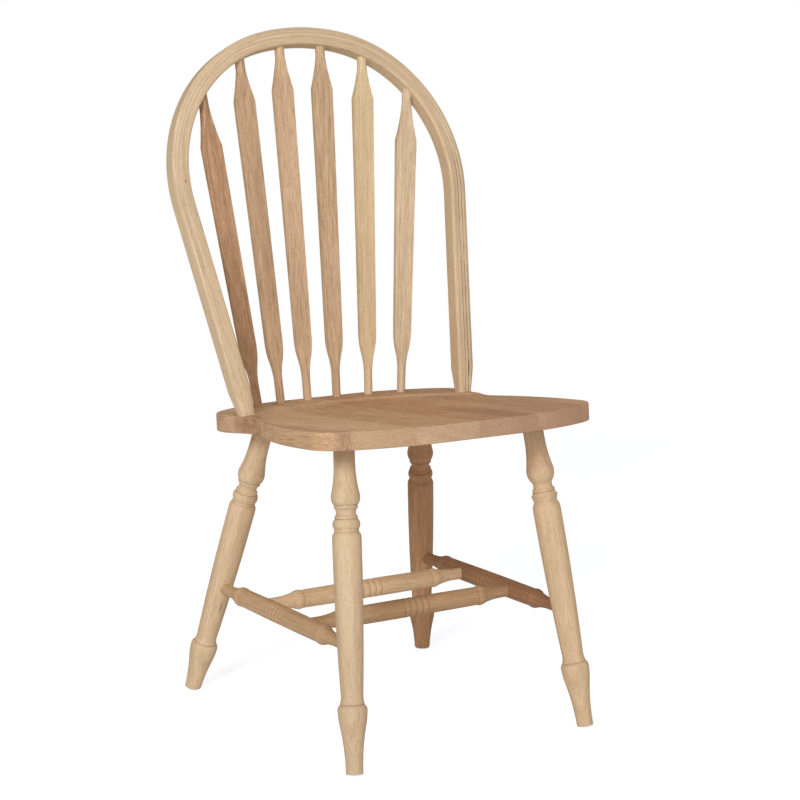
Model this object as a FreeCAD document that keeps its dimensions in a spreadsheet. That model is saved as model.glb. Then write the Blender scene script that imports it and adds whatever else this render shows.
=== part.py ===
import FreeCAD, Part
import math
import os
import Sketcher
from FreeCAD import Placement, Rotation, Vector

# Bow-back Windsor chair with six arrow slats, in millimetres, +Z up, front towards -Y.
# The origin is on the floor, under the middle of the chair's overall box.

doc = FreeCAD.newDocument("windsor_chair")
sheet = doc.addObject("Spreadsheet::Sheet", "sizes")

SIZES = {
    # Fits
    "glue_line": 0.1,
    "joint_clearance": 0.1,
    # Seat: glued up from boards, plan outline measured back from the front edge
    "seat_width": 435,
    "seat_depth": 450,
    "seat_thickness": 25,
    "seat_height": 456.2,
    "seat_tilt": 4.6,
    "seat_front_flat": 120,
    "seat_corner_radius": 61,
    "seat_corner_inset": 85,
    "seat_side_straight": 31,
    "seat_waist_width": 370.8,
    "seat_waist_from_rear": 161,
    "seat_waist_radius": 95,
    "seat_wing_width": 402.4,
    "seat_wing_radius": 64,
    "seat_rear_flat": 120,
    "seat_top_edge": 3,
    "seat_lower_edge": 2,
    "board_width": 94.3,
    "board_joint": 88,
    "scoop_radius": 233,
    "scoop_inset": 153,
    "scoop_rear_depth": 4.5,
    "scoop_dish": 2,
    "scoop_wall": 14,
    # Where the legs stand on the floor and enter the seat
    "front_foot_spread": 371.8,
    "rear_foot_spread": 400,
    "foot_base": 447.9,
    "foot_setback": 21.4,
    "foot_level": 1,
    "front_leg_spread": 299,
    "rear_leg_spread": 259.8,
    "front_leg_inset": 107.2,
    "rear_leg_inset": 366.1,
    "leg_tenon": 15,
    "rear_leg_trim": 14.7,
    # Leg turning: the foot's heights from the floor end, the rest down from the seat in front
    "foot_diameter": 22.8,
    "bulb_height": 81,
    "bulb_diameter": 39.2,
    "bulb_radius": 80,
    "ankle_height": 99.6,
    "ankle_diameter": 29.8,
    "shaft_diameter": 38.8,
    "shaft_full_drop": 20,
    "shaft_top_drop": 8,
    "groove_drop": 86,
    "groove_diameter": 34.2,
    "ring_width": 13,
    "ring_bulge": 15.3,
    "ring_top_diameter": 35.8,
    "fillet_diameter": 32.6,
    "fillet_width": 1.5,
    "cove_width": 15,
    "cove_radius": 14.4,
    "collar_diameter": 34.6,
    "collar_width": 2,
    "belly_drop": 44.5,
    "belly_diameter": 38.6,
    "belly_radius": 19,
    "neck_drop": 26.2,
    "neck_diameter": 28.4,
    # Stretchers, bead places from the axis of the piece that each end enters
    "stretcher_height": 165.1,
    "rear_cross_station": 125.5,
    "front_cross_station": 247.4,
    "stretcher_past": 3,
    "stretcher_end_diameter": 16.6,
    "stretcher_cove_diameter": 22,
    "stretcher_cove_length": 28,
    "stretcher_barrel_diameter": 27,
    "stretcher_barrel_end_diameter": 26,
    "stretcher_bead_diameter": 28,
    "stretcher_bead_foot_diameter": 24.2,
    "stretcher_bead_width": 13,
    "side_bead_inset": 70,
    "cross_bead_inset": 59,
    "score_spacing": 10,
    "score_depth": 1.2,
    "score_width": 2.4,
    # Bow: four bent plies, its shape drawn in the leaning plane from the seat up
    "bow_width": 476.6,
    "bow_rise": 551.2,
    "bow_section": 25.3,
    "bow_shoulder_offset": 18.4,
    "bow_top_flatness": 83,
    "bow_post_angle": 8.4,
    "bow_lean_angle": 17.7,
    "bow_inset": 322.6,
    "bow_edge_radius": 3.5,
    "bow_foot_taper": 35,
    "bow_foot_width": 20,
    "bow_foot_depth": 19,
    "bow_foot_radius": 5,
    "bow_tenon": 17,
    # Slats: distances from the middle of the chair, then the arrow shape
    "slat_arc_radius": 275,
    "slat_arc_inset": 153.2,
    "inner_slat_foot": 24.5,
    "middle_slat_foot": 73.8,
    "outer_slat_foot": 119.9,
    "inner_slat_head": 33.6,
    "middle_slat_head": 101.1,
    "outer_slat_head": 168.9,
    "inner_slat_flare": 60,
    "middle_slat_flare": 58,
    "outer_slat_flare": 70,
    "slat_turn_angle": 9,
    "slat_thickness": 10,
    "slat_top_width": 32.6,
    "slat_low_width": 27,
    "slat_head_diameter": 14,
    "slat_head_neck": 14,
    "slat_foot_diameter": 12.4,
    "slat_foot_neck": 31,
    "slat_low_shoulder": 91,
    "slat_flare_radius": 300,
    "slat_seat_tenon": 15,
    "slat_bow_tenon": 11,
}
for row, (alias, number) in enumerate(SIZES.items(), start=1):
    sheet.set(f"A{row}", alias)
    sheet.set(f"B{row}", str(number))
    sheet.setAlias(f"B{row}", alias)
doc.recompute()


def size(alias):
    """The number in a cell of the sheet."""
    return float(sheet.get(alias))


def half(alias):
    """Expression for half of a sheet value."""
    return f"sizes.{alias} / 2"


def origin_plane(body, role):
    """One of a body's own origin planes."""
    return next(plane for plane in body.Origin.OriginFeatures if plane.Role == role)


def new_body(name):
    body = doc.addObject("PartDesign::Body", name)
    body.Label = name
    return body


def new_sketch(body, name, role, offset=None):
    """A sketch on an origin plane of the body, or at an offset from it."""
    sketch = body.newObject("Sketcher::SketchObject", name)
    sketch.AttachmentSupport = (origin_plane(body, role), [""])
    sketch.MapMode = "FlatFace"
    if offset is not None:
        sketch.AttachmentOffset = offset
    return sketch


def arc_between(start, end, radius, turn):
    """Short arc from start to end. turn is 1 for anticlockwise and -1 for clockwise."""
    chord = end - start
    reach = math.sqrt(radius ** 2 - chord.Length ** 2 / 4)
    aside = Vector(-chord.y, chord.x, 0).normalize()
    centre = (start + end) / 2 + aside * reach * turn
    first, last = (start, end) if turn > 0 else (end, start)
    angle = [math.atan2(point.y - centre.y, point.x - centre.x) for point in (first, last)]
    circle = Part.Circle(centre, Vector(0, 0, 1), radius)
    return Part.ArcOfCircle(circle, angle[0], angle[1])


def draw(sketch, corners, arcs=None, closed=True):
    """
    Draws an outline whose corners are pairs of expressions on the sheet.
    arcs gives, for the side that starts at a corner, its radius expression and its turn.
    Every corner and radius is a dimension of the sketch, bound to its expression.
    """
    arcs = arcs or {}
    points = [Vector(float(sketch.evalExpression(across)), float(sketch.evalExpression(up)), 0)
              for across, up in corners]
    count = len(points)
    sides = count if closed else count - 1
    ends = []
    for index in range(sides):
        start, end = points[index], points[(index + 1) % count]
        if index in arcs:
            radius, turn = arcs[index]
            piece = arc_between(start, end, float(sketch.evalExpression(radius)), turn)
            ends.append((1, 2) if turn > 0 else (2, 1))
        else:
            piece = Part.LineSegment(start, end)
            ends.append((1, 2))
        sketch.addGeometry(piece, False)
    for index in range(sides if closed else sides - 1):
        after = (index + 1) % count
        sketch.addConstraint(
            Sketcher.Constraint("Coincident", index, ends[index][1], after, ends[after][0]))
    for index in range(count):
        side, place = (index, ends[index][0]) if index < sides else (index - 1, ends[-1][1])
        for kind, number, expression in (("DistanceX", points[index].x, corners[index][0]),
                                         ("DistanceY", points[index].y, corners[index][1])):
            added = sketch.addConstraint(
                Sketcher.Constraint(kind, -1, 1, side, place, number))
            sketch.setExpression(f"Constraints[{added}]", expression)
    for index, (radius, turn) in arcs.items():
        number = float(sketch.evalExpression(radius))
        added = sketch.addConstraint(Sketcher.Constraint("Radius", index, number))
        sketch.setExpression(f"Constraints[{added}]", radius)
    return sketch


class Outline:
    """Corners and arcs of an outline, gathered as expressions in drawing order."""

    def __init__(self, across, up):
        self.corners = [(across, up)]
        self.arcs = {}

    def line(self, across, up):
        self.corners.append((across, up))
        return self

    def arc(self, across, up, radius, turn):
        self.arcs[len(self.corners) - 1] = (radius, turn)
        return self.line(across, up)

    def swell(self, across, up, turn):
        """Arc to a point where, or from a point where, the tangent runs along the axis."""
        before, height = self.corners[-1]
        step = f"abs(({across}) - ({before}))"
        radius = f"((({up}) - ({height}))^2 + {step}^2) / (2 * {step})"
        return self.arc(across, up, radius, turn)

    def ogee(self, across, up, turn, share="0.5"):
        """Two arcs in an S whose both ends run along the axis; share sets their radii."""
        before, height = self.corners[-1]
        step = f"abs(({across}) - ({before}))"
        whole = f"((({up}) - ({height}))^2 + {step}^2) / (2 * {step})"
        middle_across = f"({before}) + ({share}) * (({across}) - ({before}))"
        middle_up = f"({height}) + ({share}) * (({up}) - ({height}))"
        self.arc(middle_across, middle_up, f"({share}) * {whole}", turn)
        return self.arc(across, up, f"(1 - ({share})) * {whole}", -turn)


def turned(name, outline, angle=360):
    """A body turned on its Z axis from an outline of radius against height."""
    body = new_body(name)
    profile = new_sketch(body, f"{name}_profile", "XZ_Plane")
    draw(profile, outline.corners, outline.arcs)
    turning = body.newObject("PartDesign::Revolution", f"{name}_turning")
    turning.Profile = profile
    turning.ReferenceAxis = (profile, ["V_Axis"])
    turning.Angle = angle
    return body


def padded(name, outline, role, length):
    """A body padded evenly to both sides of an origin plane."""
    body = new_body(name)
    profile = new_sketch(body, f"{name}_outline", role)
    draw(profile, outline.corners, outline.arcs)
    pad = body.newObject("PartDesign::Pad", f"{name}_pad")
    pad.Profile = profile
    pad.Midplane = True
    pad.setExpression("Length", length)
    return body


def drill(name, radius, start, end):
    """A round cutter from one point to another, for a mortise."""
    cutter = doc.addObject("Part::Cylinder", name)
    cutter.setExpression("Radius", f"({radius}) + sizes.joint_clearance")
    cutter.Height = (end - start).Length
    cutter.Placement = Placement(start, Rotation(Vector(0, 0, 1), end - start))
    return cutter


def joined(name, pieces):
    fusion = doc.addObject("Part::MultiFuse", name)
    fusion.Shapes = pieces
    return fusion


def cut(name, base, tool):
    result = doc.addObject("Part::Cut", name)
    result.Base = base
    result.Tool = tool
    result.Label = name
    return result


def common(name, base, tool):
    result = doc.addObject("Part::Common", name)
    result.Base = base
    result.Tool = tool
    result.Label = name
    return result


def frame_along(start, towards, sideways):
    """Placement at a point whose Z runs towards another and whose X keeps to a direction."""
    along = (towards - start).normalize()
    across = (sideways - along * sideways.dot(along)).normalize()
    return Placement(start, Rotation(across, along.cross(across), along, "ZXY"))


nodes = {}
SIDES = (("right", -1), ("left", 1))

# Frames of the seat and of the bow

tilt = math.radians(size("seat_tilt"))
lean = math.radians(size("bow_lean_angle"))
lower_edge = size("seat_lower_edge")
edge_radius = size("bow_edge_radius")
overhang = (size("seat_thickness") - lower_edge) * math.sin(tilt) + lower_edge * (1 - math.cos(tilt))
reach = (size("bow_inset") * math.cos(tilt)
         + (size("bow_rise") - edge_radius) * math.sin(lean)
         + (size("bow_section") / 2 - edge_radius) * math.cos(lean) + edge_radius)
seat_front = (overhang - reach) / 2
seat_frame = Placement(Vector(0, seat_front, size("seat_height")),
                       Rotation(Vector(1, 0, 0), -size("seat_tilt")))
bow_foot = seat_frame.multVec(Vector(0, size("bow_inset"), 0))
bow_frame = Placement(bow_foot, Rotation(Vector(1, 0, 0), -size("bow_lean_angle")))

# Legs: one turning, the rear pair trimmed at the foot

foot_radius = size("foot_diameter") / 2
bulb_drop = (size("bulb_diameter") - size("foot_diameter")) / 2


def foot_curve():
    """Radii of the foot's hollow: it leaves the floor upright and meets the bulb's arc."""
    total = (size("bulb_height") ** 2 + bulb_drop ** 2) / (2 * bulb_drop)
    return total - size("bulb_radius")


def foot_radius_at(height):
    hollow = foot_curve()
    return foot_radius + hollow - math.sqrt(hollow ** 2 - height ** 2)


def leg_frame(end, side):
    """Placement of a leg's turning, and how far up it the seat's underside lies."""
    spread = size(f"{end}_foot_spread") / 2 * side
    depth = seat_front + size("foot_setback") + (size("foot_base") if end == "rear" else 0)
    trim = size("rear_leg_trim") if end == "rear" else 0
    socket = seat_frame.multVec(Vector(size(f"{end}_leg_spread") / 2 * side,
                                       size(f"{end}_leg_inset"), -size("seat_thickness")))
    foot = Vector(spread, depth, 0)
    for settling in range(4):
        splay = (socket - foot).getAngle(Vector(0, 0, 1))
        foot.z = foot_radius_at(trim) * math.sin(splay) - size("foot_level")
    along = (socket - foot).normalize()
    start = foot - along * trim
    return frame_along(start, socket, Vector(1, 0, 0)), (socket - start).Length, trim


leg_frames = {}
for end in ("front", "rear"):
    for word, side in SIDES:
        leg_frames[end, word] = leg_frame(end, side)
leg_seat_station = leg_frames["front", "right"][1]


def leg_outline(top):
    """The leg's turning from the foot to the end of its tenon, as radius against height."""
    neck = f"({leg_seat_station} - sizes.neck_drop)"
    belly = f"({neck} - sizes.belly_drop)"
    groove = f"({neck} - sizes.groove_drop)"
    bulb_share = ("1 - sizes.bulb_radius * (sizes.bulb_diameter - sizes.foot_diameter)"
                  " / (sizes.bulb_height^2 + (sizes.bulb_diameter - sizes.foot_diameter)^2 / 4)")
    ring_top = f"{groove} + sizes.ring_width"
    cove_foot = f"{ring_top} + sizes.fillet_width"
    cove_top = f"{cove_foot} + sizes.cove_width"
    collar_top = f"{cove_top} + sizes.collar_width"
    neck_drop = "(sizes.belly_diameter - sizes.neck_diameter) / 2"
    belly_share = (f"sizes.belly_radius * 2 * ({neck_drop})"
                   f" / (sizes.belly_drop^2 + ({neck_drop})^2)")
    leg = Outline("0", "0")
    leg.line(f"{half('foot_diameter')}", "0")
    leg.ogee(half("bulb_diameter"), "sizes.bulb_height", -1, bulb_share)
    leg.ogee(half("ankle_diameter"), "sizes.ankle_height", 1)
    leg.swell(half("shaft_diameter"), f"{groove} - sizes.shaft_full_drop", 1)
    leg.line(half("shaft_diameter"), f"{groove} - sizes.shaft_top_drop")
    leg.line(half("groove_diameter"), groove)
    leg.arc(half("ring_top_diameter"), ring_top, "sizes.ring_bulge", 1)
    leg.line(half("fillet_diameter"), ring_top)
    leg.line(half("fillet_diameter"), cove_foot)
    leg.arc(half("fillet_diameter"), cove_top, "sizes.cove_radius", -1)
    leg.line(half("collar_diameter"), cove_top)
    leg.line(half("collar_diameter"), collar_top)
    leg.swell(half("belly_diameter"), belly, 1)
    leg.ogee(half("neck_diameter"), neck, 1, belly_share)
    leg.line(half("neck_diameter"), str(top))
    leg.line("0", str(top))
    return leg


def leg_axis_point(end, word):
    """Where a side stretcher's axis meets a leg's axis."""
    frame, _, trim = leg_frames[end, word]
    return frame.multVec(Vector(0, 0, trim + size("stretcher_height")))


# Stretchers: one turning in two lengths

stretcher_frames = {}
stretcher_halves = {}
for word, side in SIDES:
    rear_point = leg_axis_point("rear", word)
    front_point = leg_axis_point("front", word)
    middle = (rear_point + front_point) / 2
    stretcher_frames[word] = frame_along(middle, front_point, Vector(1, 0, 0))
    stretcher_halves[word] = (front_point - rear_point).Length / 2
for end in ("front", "rear"):
    station = size(f"{end}_cross_station") - stretcher_halves["right"]
    start = stretcher_frames["right"].multVec(Vector(0, 0, station))
    finish = stretcher_frames["left"].multVec(Vector(0, 0, station))
    middle = (start + finish) / 2
    stretcher_frames[end] = frame_along(middle, finish, Vector(0, 1, 0))
    stretcher_halves[end] = (finish - start).Length / 2


def stretcher_outline(length, bead_inset):
    """The stretcher's turning, the same both ways from its middle."""
    barrel = half("stretcher_barrel_diameter")
    barrel_end = half("stretcher_barrel_end_diameter")
    bead_foot = half("stretcher_bead_foot_diameter")
    cove = half("stretcher_cove_diameter")
    thin = half("stretcher_end_diameter")
    lip = "sizes.score_width / 2"
    bead_start = f"{length} - sizes.{bead_inset} - sizes.stretcher_bead_width / 2"
    bead_end = f"{bead_start} + sizes.stretcher_bead_width"
    tip = f"{length} + sizes.stretcher_past"
    sagitta = "(sizes.stretcher_bead_diameter - sizes.stretcher_bead_foot_diameter) / 2"
    bead_radius = f"(sizes.stretcher_bead_width^2 / 4 + ({sagitta})^2) / (2 * ({sagitta}))"
    upper = []
    for score in (0, 1, 2):
        place = f"{score} * sizes.score_spacing"
        if score > 0:
            upper.append((barrel, f"{place} - {lip}", None))
        upper.append((f"{barrel} - sizes.score_depth", place, None))
        upper.append((barrel, f"{place} + {lip}", None))
    upper.append((barrel_end, f"{bead_start} - {lip}", None))
    upper.append((bead_foot, bead_start, None))
    upper.append((bead_foot, bead_end, (bead_radius, 1)))
    upper.append((cove, bead_end, None))
    run = f"((sizes.stretcher_cove_length)^2 + (({cove}) - ({thin}))^2) / (2 * (({cove}) - ({thin})))"
    upper.append((thin, f"{bead_end} + sizes.stretcher_cove_length", (run, -1)))
    upper.append((thin, tip, None))
    outline = Outline("0", f"-({tip})")
    for index in range(len(upper) - 1, 0, -1):
        across, up, _ = upper[index]
        arriving = upper[index + 1][2] if index + 1 < len(upper) else None
        if arriving is None:
            outline.line(across, f"-({up})")
        else:
            outline.arc(across, f"-({up})", arriving[0], arriving[1])
    for across, up, arriving in upper:
        if arriving is None:
            outline.line(across, up)
        else:
            outline.arc(across, up, arriving[0], arriving[1])
    outline.line("0", tip)
    return outline


def stretcher_mortise(name, carried_by, stretcher, direction):
    """Cutter for one end of a stretcher, in the frame of the piece that takes it."""
    length = stretcher_halves[stretcher]
    inward = carried_by.inverse().multiply(stretcher_frames[stretcher])
    outer = inward.multVec(Vector(0, 0, direction * (length - size("stretcher_cove_length"))))
    bottom = inward.multVec(
        Vector(0, 0, direction * (length + size("stretcher_past") + size("joint_clearance"))))
    return drill(name, half("stretcher_end_diameter"), outer, bottom)


for word, side in SIDES:
    frame = stretcher_frames[word]
    name = f"side_stretcher_{word}"
    blank = turned(f"{name}_turned", stretcher_outline(str(stretcher_halves[word]), "side_bead_inset"))
    mortises = [stretcher_mortise(f"{name}_{end}_mortise", frame, end, side) for end in ("front", "rear")]
    nodes[name] = cut(name, blank, joined(f"{name}_mortises", mortises))
    nodes[name].Placement = frame
for end in ("front", "rear"):
    name = f"cross_stretcher_{end}"
    nodes[name] = turned(name, stretcher_outline(str(stretcher_halves[end]), "cross_bead_inset"))
    nodes[name].Placement = stretcher_frames[end]

leg_sockets = []
for (end, word), (frame, seat_station, trim) in leg_frames.items():
    name = f"leg_{end}_{word}"
    top = seat_station + size("leg_tenon")
    blank = turned(f"{name}_turned", leg_outline(top))
    floor = doc.addObject("Part::Box", f"{name}_floor")
    floor.setExpression("Length", "4 * sizes.bulb_diameter")
    floor.setExpression("Width", "4 * sizes.bulb_diameter")
    floor.setExpression("Height", "sizes.bulb_height")
    corner = Vector(frame.Base.x - 2 * size("bulb_diameter"),
                    frame.Base.y - 2 * size("bulb_diameter"), -size("bulb_height"))
    floor.Placement = frame.inverse().multiply(Placement(corner, Rotation()))
    direction = 1 if end == "front" else -1
    tools = [floor, stretcher_mortise(f"{name}_mortise", frame, word, direction)]
    if trim:
        offcut = doc.addObject("Part::Cylinder", f"{name}_offcut")
        offcut.setExpression("Radius", "sizes.bulb_diameter")
        offcut.setExpression("Height", "sizes.bulb_height")
        offcut.Placement = Placement(Vector(0, 0, trim - size("bulb_height")), Rotation())
        tools.append(offcut)
    nodes[name] = cut(name, blank, joined(f"{name}_tools", tools))
    nodes[name].Placement = frame
    inward = seat_frame.inverse().multiply(frame)
    leg_sockets.append(drill(f"{name}_socket", half("neck_diameter"),
                             inward.multVec(Vector(0, 0, leg_seat_station - size("neck_drop"))),
                             inward.multVec(Vector(0, 0, top + size("joint_clearance")))))

# Bow: an envelope shaped after gluing, shared out between four plies

section = size("bow_section")
shoulder_across = size("bow_shoulder_offset")
shoulder_radius = size("bow_width") / 2 - shoulder_across
top_radius = shoulder_radius + size("bow_top_flatness")
post = math.radians(size("bow_post_angle"))
top_centre = size("bow_rise") - top_radius
shoulder_up = top_centre + math.sqrt(size("bow_top_flatness") ** 2 - shoulder_across ** 2)
top_angle = math.atan2(shoulder_across, shoulder_up - top_centre)


def bow_points(offset):
    """Top, shoulder and post points of the right half of the curve this far inside the bow."""
    crown = Vector((top_radius - offset) * math.sin(top_angle),
                   top_centre + (top_radius - offset) * math.cos(top_angle), 0)
    hip = Vector(shoulder_across + (shoulder_radius - offset) * math.cos(post),
                 shoulder_up - (shoulder_radius - offset) * math.sin(post), 0)
    return crown, hip


def post_point(offset, up):
    """Point of a post's curve whose middle line stands this far along it from the seat."""
    _, hip = bow_points(section / 2)
    along = Vector(math.sin(post), math.cos(post), 0)
    middle_foot = hip - along * (hip.y / math.cos(post))
    across = Vector(math.cos(post), -math.sin(post), 0)
    return middle_foot + along * up + across * (section / 2 - offset)


def bow_curve(sketch_outline, offset, up, sign):
    """Adds one run of the bow's curve from a post end over the top to the other post end."""
    crown, hip = bow_points(offset)
    foot = post_point(offset, up)
    radii = [str(shoulder_radius - offset), str(top_radius - offset), str(shoulder_radius - offset)]
    stops = [(-sign * hip.x, hip.y), (-sign * crown.x, crown.y), (sign * crown.x, crown.y), (sign * hip.x, hip.y)]
    sketch_outline.line(str(stops[0][0]), str(stops[0][1]))
    for (across, height), radius in zip(stops[1:], radii):
        sketch_outline.arc(str(across), str(height), radius, -sign)
    sketch_outline.line(str(sign * foot.x), str(foot.y))


def rounded_square(outline_width, outline_depth, radius):
    """Outline of a rectangle with rounded corners, centred, drawn anticlockwise."""
    across, up = f"({outline_width}) / 2", f"({outline_depth}) / 2"
    inner_across, inner_up = f"({across} - {radius})", f"({up} - {radius})"
    outline = Outline(inner_across, f"-({up})")
    outline.arc(across, f"-({inner_up})", radius, 1)
    outline.line(across, inner_up)
    outline.arc(inner_across, up, radius, 1)
    outline.line(f"-({inner_across})", up)
    outline.arc(f"-({across})", inner_up, radius, 1)
    outline.line(f"-({across})", f"-({inner_up})")
    outline.arc(f"-({inner_across})", f"-({up})", radius, 1)
    return outline


FULL_SECTION = rounded_square("sizes.bow_section", "sizes.bow_section", "sizes.bow_edge_radius")
FOOT_SECTION = rounded_square("sizes.bow_foot_width", "sizes.bow_foot_depth", "sizes.bow_foot_radius")

envelope = new_body("bow_envelope")


def post_sketch(name, up, side, outline):
    """A section sketch square to a post, this far along its middle line from the seat."""
    place = post_point(section / 2, up)
    turn = Rotation(Vector(0, 1, 0), side * size("bow_post_angle"))
    offset = Placement(Vector(side * place.x, 0, place.y), turn)
    sketch = new_sketch(envelope, name, "XY_Plane", offset)
    return draw(sketch, outline.corners, outline.arcs)


path = new_sketch(envelope, "bow_path", "XZ_Plane")
start = post_point(section / 2, size("bow_foot_taper"))
path_outline = Outline(str(-start.x), str(start.y))
bow_curve(path_outline, section / 2, size("bow_foot_taper"), 1)
draw(path, path_outline.corners, path_outline.arcs, closed=False)
sweep = envelope.newObject("PartDesign::AdditivePipe", "bow_sweep")
sweep.Profile = post_sketch("bow_section_start", size("bow_foot_taper"), -1, FULL_SECTION)
sweep.Spine = (path, [f"Edge{edge + 1}" for edge in range(len(path_outline.corners) - 1)])
for word, side in SIDES:
    upper = post_sketch(f"bow_taper_top_{word}", size("bow_foot_taper"), side, FULL_SECTION)
    lower = post_sketch(f"bow_taper_foot_{word}", 0, side, FOOT_SECTION)
    taper = envelope.newObject("PartDesign::AdditiveLoft", f"bow_taper_{word}")
    taper.Profile = upper
    taper.Sections = [lower]
    taper.Ruled = True
    tenon_sketch = post_sketch(f"bow_tenon_end_{word}", -size("bow_tenon"), side, FOOT_SECTION)
    tenon = envelope.newObject("PartDesign::Pad", f"bow_tenon_{word}")
    tenon.Profile = tenon_sketch
    tenon.setExpression("Length", "sizes.bow_tenon")

# Slats: each turned, then sawn flat between its necks

SLATS = [("outer", -1), ("middle", -1), ("inner", -1), ("inner", 1), ("middle", 1), ("outer", 1)]


def slat_ends(kind, side):
    """Where a slat's axis leaves the seat and meets the inside of the bow."""
    foot_across = size(f"{kind}_slat_foot")
    foot_back = size("slat_arc_inset") + math.sqrt(size("slat_arc_radius") ** 2 - foot_across ** 2)
    foot = seat_frame.multVec(Vector(side * foot_across, foot_back, 0))
    head_across = size(f"{kind}_slat_head")
    crown, _ = bow_points(section)
    if head_across < crown.x:
        up = top_centre + math.sqrt((top_radius - section) ** 2 - head_across ** 2)
    else:
        up = shoulder_up + math.sqrt((shoulder_radius - section) ** 2
                                     - (head_across - shoulder_across) ** 2)
    return foot, bow_frame.multVec(Vector(side * head_across, 0, up))


def slat_outline(length, flare):
    """Half of the arrow shape, from the end of the seat tenon to the end of the bow tenon."""
    neck = half("slat_foot_diameter")
    head = half("slat_head_diameter")
    slat = Outline("0", "-sizes.slat_seat_tenon")
    slat.line(neck, "-sizes.slat_seat_tenon")
    slat.line(neck, "sizes.slat_foot_neck")
    slat.ogee(half("slat_low_width"), "sizes.slat_low_shoulder", -1)
    slat.line(half("slat_top_width"), f"{length} - sizes.{flare}")
    slat.arc(head, f"{length} - sizes.slat_head_neck", "sizes.slat_flare_radius", -1)
    slat.line(head, f"{length} + sizes.slat_bow_tenon")
    slat.line("0", f"{length} + sizes.slat_bow_tenon")
    return slat


def slat_side(length, flare):
    """Side view of the sawn slat, thin between the necks and clear of them at both ends."""
    flat = half("slat_thickness")
    low = "sizes.slat_foot_diameter / 2 + sizes.glue_line"
    high = "sizes.slat_head_diameter / 2 + sizes.glue_line"
    bottom = "-sizes.slat_seat_tenon - sizes.glue_line"
    top = f"{length} + sizes.slat_bow_tenon + sizes.glue_line"
    right = [(low, bottom), (low, "sizes.slat_foot_neck"), (flat, "sizes.slat_low_shoulder"),
             (flat, f"{length} - sizes.{flare}"), (high, f"{length} - sizes.slat_head_neck"), (high, top)]
    side = Outline(*right[0])
    for across, up in right[1:]:
        side.line(across, up)
    for across, up in reversed(right):
        side.line(f"-({across})", up)
    return side


slat_seat_holes = []
slat_bow_holes = []
into_seat = seat_frame.inverse()
into_bow = bow_frame.inverse()
for number, (kind, side) in enumerate(SLATS, start=1):
    name = f"slat_{number}"
    foot, head = slat_ends(kind, side)
    length = (head - foot).Length
    turn = math.radians(size("slat_turn_angle")) * side * size(f"{kind}_slat_head") / size("outer_slat_head")
    frame = frame_along(foot, head, Vector(math.cos(turn), -math.sin(turn), 0))
    blank = turned(f"{name}_turned", slat_outline(str(length), f"{kind}_slat_flare"))
    sides = slat_side(str(length), f"{kind}_slat_flare")
    slab = padded(f"{name}_slab", sides, "YZ_Plane", "2 * sizes.slat_top_width")
    nodes[name] = common(name, blank, slab)
    nodes[name].Placement = frame
    along = (head - foot).normalize()
    deep = size("slat_seat_tenon") + size("joint_clearance")
    slat_seat_holes.append(drill(f"{name}_seat_hole", half("slat_foot_diameter"),
                                 into_seat.multVec(foot + along * size("slat_foot_neck")),
                                 into_seat.multVec(foot - along * deep)))
    deep = size("slat_bow_tenon") + size("joint_clearance")
    slat_bow_holes.append(drill(f"{name}_bow_hole", half("slat_head_diameter"),
                                into_bow.multVec(head - along * size("slat_head_neck")),
                                into_bow.multVec(head + along * deep)))

bow_holes = joined("bow_slat_holes", slat_bow_holes)
PLIES = 4
band_margin = size("bow_edge_radius")
for ply in range(PLIES):
    name = f"bow_ply_{ply + 1}"
    outside = ply * section / PLIES + (size("glue_line") / 2 if ply > 0 else -band_margin)
    inside = (ply + 1) * section / PLIES - (size("glue_line") / 2 if ply < PLIES - 1 else -band_margin)
    below = -size("bow_tenon") - band_margin
    start = post_point(outside, below)
    band_outline = Outline(str(-start.x), str(start.y))
    bow_curve(band_outline, outside, below, 1)
    turn_in = post_point(inside, below)
    band_outline.line(str(turn_in.x), str(turn_in.y))
    bow_curve(band_outline, inside, below, -1)
    band = padded(f"{name}_band", band_outline, "XZ_Plane", "1.5 * sizes.bow_section")
    whole = common(f"{name}_shaped", band, envelope)
    reaches = size("slat_bow_tenon") > (PLIES - 1 - ply) * section / PLIES
    nodes[name] = cut(name, whole, bow_holes) if reaches else whole
    nodes[name].Label = name
    nodes[name].Placement = bow_frame

# Seat: blank, scoop and mortises, then sawn into its boards along the glue lines

half_width = size("seat_width") / 2
front_flat = size("seat_front_flat") / 2
corner_radius = size("seat_corner_radius")
corner_across = half_width - corner_radius
corner_inset = size("seat_corner_inset")
front_span = corner_across - front_flat
front_radius = ((front_span ** 2 + corner_inset ** 2 - corner_radius ** 2)
                / (2 * (corner_inset - corner_radius)))
corner_scale = front_radius / (front_radius - corner_radius)
waist_radius = size("seat_waist_radius")
waist_across = size("seat_waist_width") / 2 + waist_radius
waist_inset = size("seat_depth") - size("seat_waist_from_rear")
side_inset = corner_inset + size("seat_side_straight")
side_span = waist_across - half_width
side_radius = ((side_span ** 2 + (waist_inset - side_inset) ** 2 - waist_radius ** 2)
               / (2 * (waist_radius - side_span)))
side_centre = half_width - side_radius
side_share = side_radius / (side_radius + waist_radius)
wing_radius = size("seat_wing_radius")
wing_across = size("seat_wing_width") / 2 - wing_radius
wing_inset = waist_inset + math.sqrt((waist_radius + wing_radius) ** 2 - (waist_across - wing_across) ** 2)
wing_share = waist_radius / (waist_radius + wing_radius)
rear_flat = size("seat_rear_flat") / 2
rear_room = size("seat_depth") - wing_inset
rear_span = wing_across - rear_flat
rear_radius = (rear_span ** 2 + rear_room ** 2 - wing_radius ** 2) / (2 * (rear_room - wing_radius))
rear_centre = size("seat_depth") - rear_radius
rear_scale = rear_radius / (rear_radius - wing_radius)

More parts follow.
